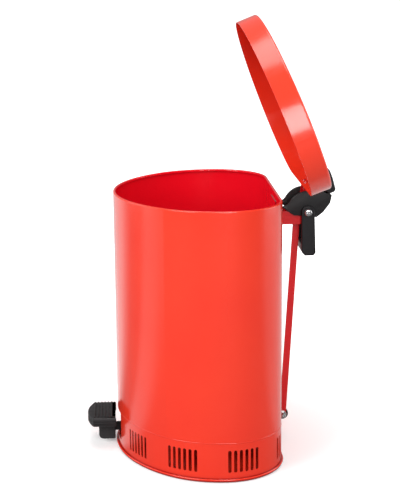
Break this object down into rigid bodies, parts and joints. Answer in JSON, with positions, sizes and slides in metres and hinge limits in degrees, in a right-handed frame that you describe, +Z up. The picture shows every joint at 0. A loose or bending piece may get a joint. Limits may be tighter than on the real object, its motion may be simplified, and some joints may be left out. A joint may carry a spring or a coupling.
{
  "type": "pedal bin",
  "caption": "D-plan painted steel pedal bin with a hinged lid, push rod and rear pedal lever, ribbed pedal and swinging rear carry handle.",
  "frame": {"origin": "on the floor, under the middle of the can's widest section", "axes": "+Z up, -Y the rounded front with the pedal, +Y the flat back with the hinge, +X to the bin's left when facing its pedal"},
  "size_m": [0.418, 0.4121, 0.709],
  "materials": {
    "red_paint_body": "gloss",
    "red_paint_inside": "gloss",
    "red_paint_lid": "gloss",
    "red_paint_bracket": "gloss",
    "zinc_steel": "satin",
    "bright_steel": "polished",
    "black_paint_steel": "satin",
    "black_plastic": "matte",
    "black_plastic_hood": "matte",
    "black_handle": "matte",
    "black_pedal": "matte",
    "black_rubber": "matte",
    "nylon": "matte"
  },
  "bodies": {
    "can": {"can_shell": "red_paint_body", "base_pan": "red_paint_body", "raised_floor": "red_paint_inside", "hinge_bracket": "red_paint_bracket", "bracket_rivets": "red_paint_bracket", "backing_plate": "red_paint_inside", "hinge_axle": "zinc_steel", "axle_spacers": "nylon", "hinge_housing": "black_plastic", "lever_axle": "zinc_steel", "lever_axle_clips": "zinc_steel", "lever_bracket_right": "black_paint_steel", "lever_bracket_left": "black_paint_steel", "handle_screws": "bright_steel"},
    "lid": {"lid_shell": "red_paint_lid", "lid_arm": "red_paint_bracket", "lid_rivets": "red_paint_bracket", "lid_bushes": "nylon", "lid_buffers": "black_rubber", "crank_pin": "zinc_steel", "pin_spacer_near": "nylon", "pin_spacer_far": "nylon", "hinge_hood": "black_plastic_hood"},
    "rod": {"push_rod": "red_paint_bracket", "rod_bolt": "zinc_steel", "rod_washer": "zinc_steel", "dome_nut": "bright_steel"},
    "lever": {"pedal_lever": "black_paint_steel", "lever_bush": "nylon", "pedal_pad": "black_pedal", "pedal_block": "black_pedal", "pedal_bolts": "black_paint_steel"},
    "handle": {"carry_handle": "black_handle"}
  },
  "joints": [
    {"name": "lid_hinge", "type": "hinge", "parent": "can", "child": "lid", "pos_m": [0, 0.146, 0.3925], "axis": [-1, 0, 0], "range_deg": [-68.4, 0]},
    {"name": "rod_top_pivot", "type": "hinge", "parent": "lid", "child": "rod", "pos_m": [0, 0.13171, 0.40075], "axis": [-1, 0, 0], "range_deg": [0, 68.7]},
    {"name": "pedal_pivot", "type": "hinge", "parent": "can", "child": "lever", "pos_m": [0, -0.008, 0.033], "axis": [1, 0, 0], "range_deg": [-9.01, 0]},
    {"name": "handle_swing", "type": "hinge", "parent": "can", "child": "handle", "pos_m": [0, 0.146, 0.3925], "axis": [1, 0, 0], "range_deg": [0, 105]}
  ],
  "couplings": [
    {"joint": "rod_top_pivot", "follows": "lid_hinge", "ratio": -1.0043},
    {"joint": "pedal_pivot", "follows": "lid_hinge", "ratio": 0.13158}
  ]
}
